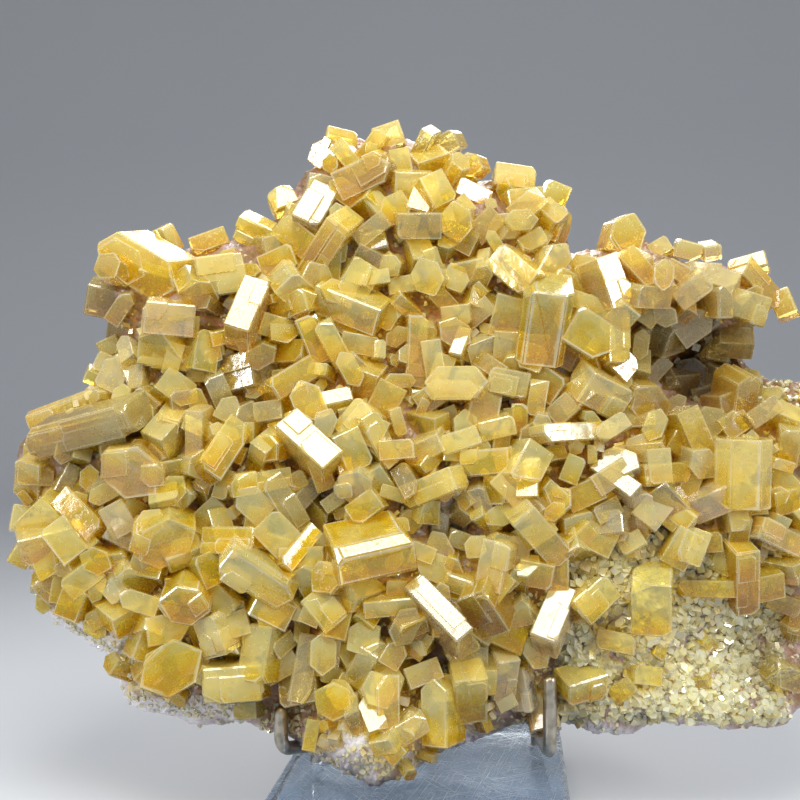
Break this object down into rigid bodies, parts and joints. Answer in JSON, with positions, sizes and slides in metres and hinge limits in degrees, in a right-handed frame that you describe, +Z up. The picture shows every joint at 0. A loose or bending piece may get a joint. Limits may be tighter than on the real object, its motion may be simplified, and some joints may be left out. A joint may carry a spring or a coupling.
{
  "type": "mineral specimen on a stand",
  "caption": "Upright plate of tabular barite crystals grown on pale matrix, held on a clear block by bent metal prongs in front and a post behind.",
  "frame": {"origin": "centre of the clear block's underside, which is what the object stands on", "axes": "+X to the right as the crystal side is looked at, -Y out of the crystal side towards the viewer, +Z up"},
  "size_m": [0.372, 0.15, 0.3222],
  "materials": {
    "barite": "glassy translucent honey-yellow crystals on a dull pinkish matrix",
    "bronzed_metal": "smooth satin metal of a dull bronze-grey",
    "acrylic": "clear polished acrylic with fine hair scratches"
  },
  "bodies": {
    "root": {"barite_cluster": "barite", "left_prong": "bronzed_metal", "right_prong": "bronzed_metal", "back_post": "bronzed_metal", "acrylic_base": "acrylic"}
  },
  "joints": []
}
